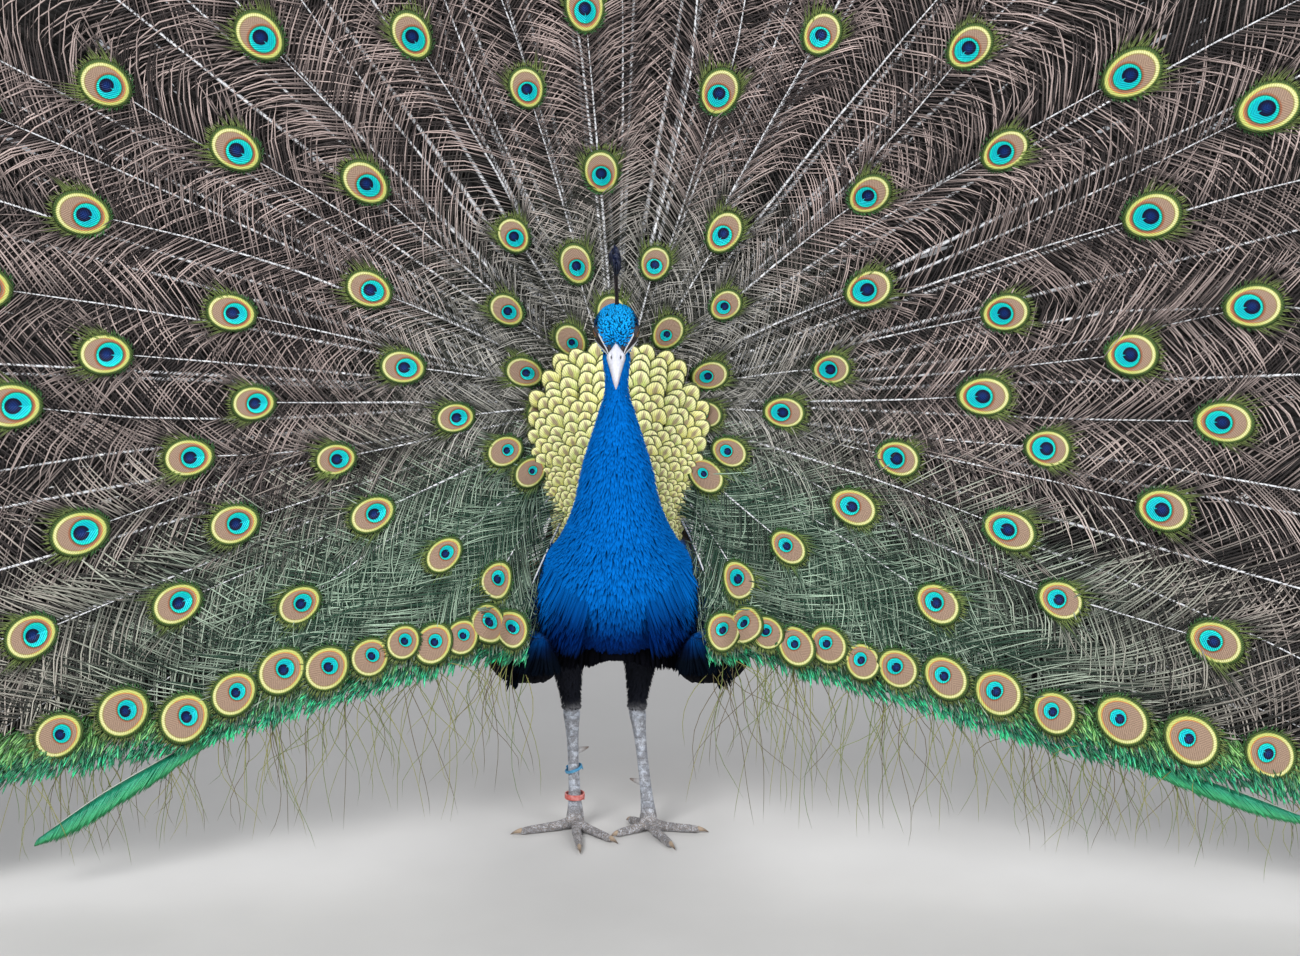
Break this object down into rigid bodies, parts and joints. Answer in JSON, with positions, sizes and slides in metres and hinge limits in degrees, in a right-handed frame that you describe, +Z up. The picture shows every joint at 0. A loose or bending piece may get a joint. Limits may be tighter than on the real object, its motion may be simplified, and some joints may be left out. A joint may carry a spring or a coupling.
{
  "type": "peacock",
  "caption": "Indian peacock standing with its train raised in a full fan, as a still life-size model, with leg rings.",
  "frame": {"origin": "middle of the base of the whole bird's box, on the floor", "axes": "+Z up, the bird faces -Y, its left side is at +X"},
  "size_m": [2.3908, 0.6386, 1.687],
  "materials": {
    "eye": "wet, glossy dark brown",
    "bill_horn": "smooth pale grey horn",
    "claw_horn": "smooth brown horn",
    "spur_horn": "smooth pale horn",
    "leg_skin": "pale grey skin in horny plates",
    "crest_feather": "bare dark shafts with blue tips",
    "crown_feather": "short curled feathers with a bright blue gloss",
    "neck_feather": "velvety cobalt blue feathers with a soft gloss",
    "body_feather": "blue to black contour feathers",
    "rump_feather": "soft grey brown down",
    "wing_feather": "barred buff and dark brown feathers",
    "thigh_feather": "fluffy black feathers",
    "shield_feather": "gold green scale feathers with a metallic gloss",
    "train_feather": "loose bronze brown and green barbs on white shafts with eyed tips",
    "fringe_feather": "dense glossy green vanes with eyed tips",
    "sword_feather": "one sided glossy emerald vane on a white shaft",
    "tail_feather": "stiff grey brown feathers",
    "blue_ring": "worn blue plastic",
    "red_ring": "faded red plastic"
  },
  "bodies": {
    "root": {"eye_right": "eye", "eye_left": "eye", "bill_upper": "bill_horn", "bill_lower": "bill_horn", "crest": "crest_feather", "head": "crown_feather", "neck": "neck_feather", "trunk": "body_feather", "rump": "rump_feather", "wing_right": "wing_feather", "thigh_right": "thigh_feather", "shank_right": "leg_skin", "foot_right": "leg_skin", "spur_right": "spur_horn", "claw_right_outer": "claw_horn", "claw_right_middle": "claw_horn", "claw_right_inner": "claw_horn", "claw_right_hind": "claw_horn", "wing_left": "wing_feather", "thigh_left": "thigh_feather", "shank_left": "leg_skin", "foot_left": "leg_skin", "spur_left": "spur_horn", "claw_left_outer": "claw_horn", "claw_left_middle": "claw_horn", "claw_left_inner": "claw_horn", "claw_left_hind": "claw_horn", "leg_ring_blue": "blue_ring", "leg_ring_red": "red_ring", "back_shield": "shield_feather", "train_right_1": "train_feather", "train_right_2": "train_feather", "train_right_3": "train_feather", "train_right_4": "train_feather", "train_right_5": "train_feather", "train_right_6": "train_feather", "train_fringe_right": "fringe_feather", "sword_feather_right": "sword_feather", "train_left_1": "train_feather", "train_left_2": "train_feather", "train_left_3": "train_feather", "train_left_4": "train_feather", "train_left_5": "train_feather", "train_left_6": "train_feather", "train_fringe_left": "fringe_feather", "sword_feather_left": "sword_feather", "tail": "tail_feather"}
  },
  "joints": []
}
